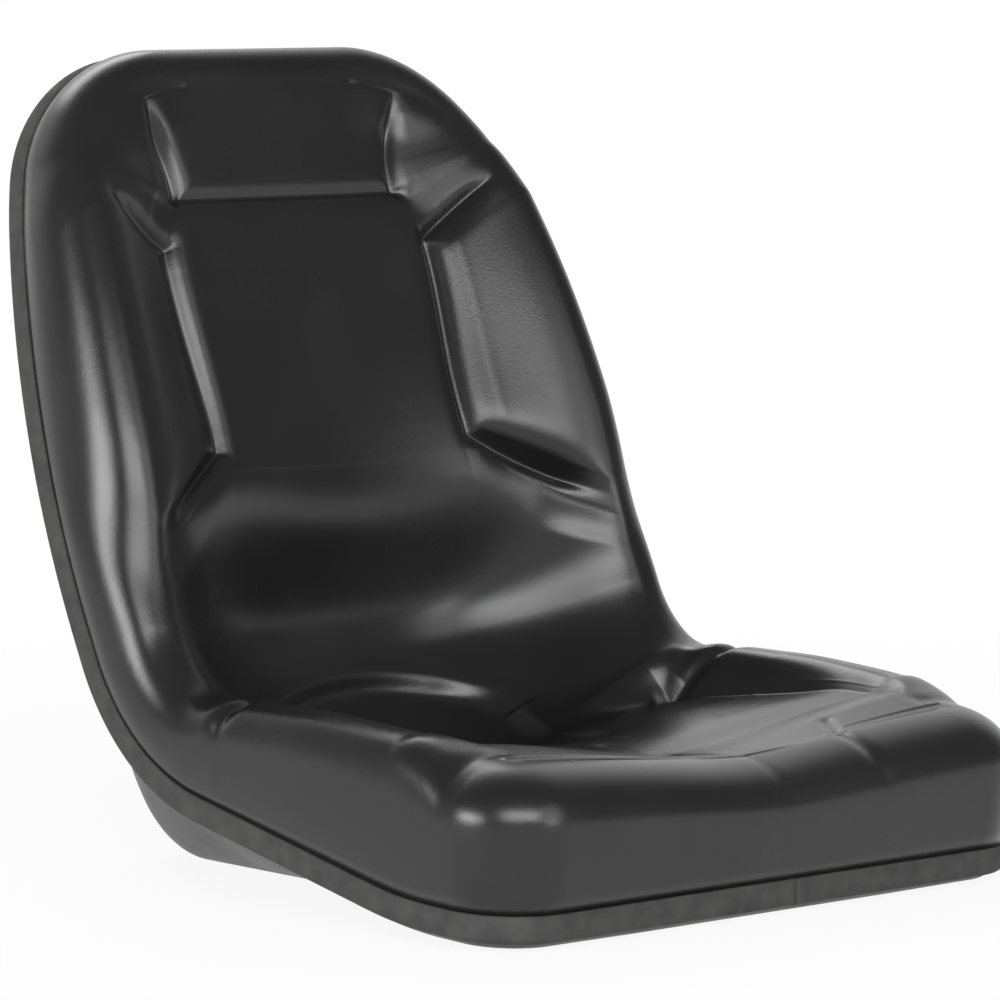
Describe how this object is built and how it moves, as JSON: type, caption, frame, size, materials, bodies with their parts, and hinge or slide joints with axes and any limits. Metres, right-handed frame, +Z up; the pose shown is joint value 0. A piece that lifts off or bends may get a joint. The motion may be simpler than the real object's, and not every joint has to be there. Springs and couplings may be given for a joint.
{
  "type": "tractor seat",
  "caption": "High-back bucket seat for a small tractor: moulded glossy cushion in a pressed steel pan with a push-on edge strip and weld nuts below.",
  "frame": {"origin": "middle of the four-bolt pattern, on the underside of the pan's flat floor", "axes": "+Z up, -Y the way the sitter faces, +X across the seat to the sitter's left"},
  "size_m": [0.5, 0.5893, 0.5608],
  "materials": {
    "skin": "gloss",
    "pan_paint": "satin",
    "strip": "satin",
    "nut_steel": "satin"
  },
  "bodies": {
    "root": {"cushion": "skin", "seat_pan": "pan_paint", "edge_strip": "strip", "weld_nuts": "nut_steel"}
  },
  "joints": []
}
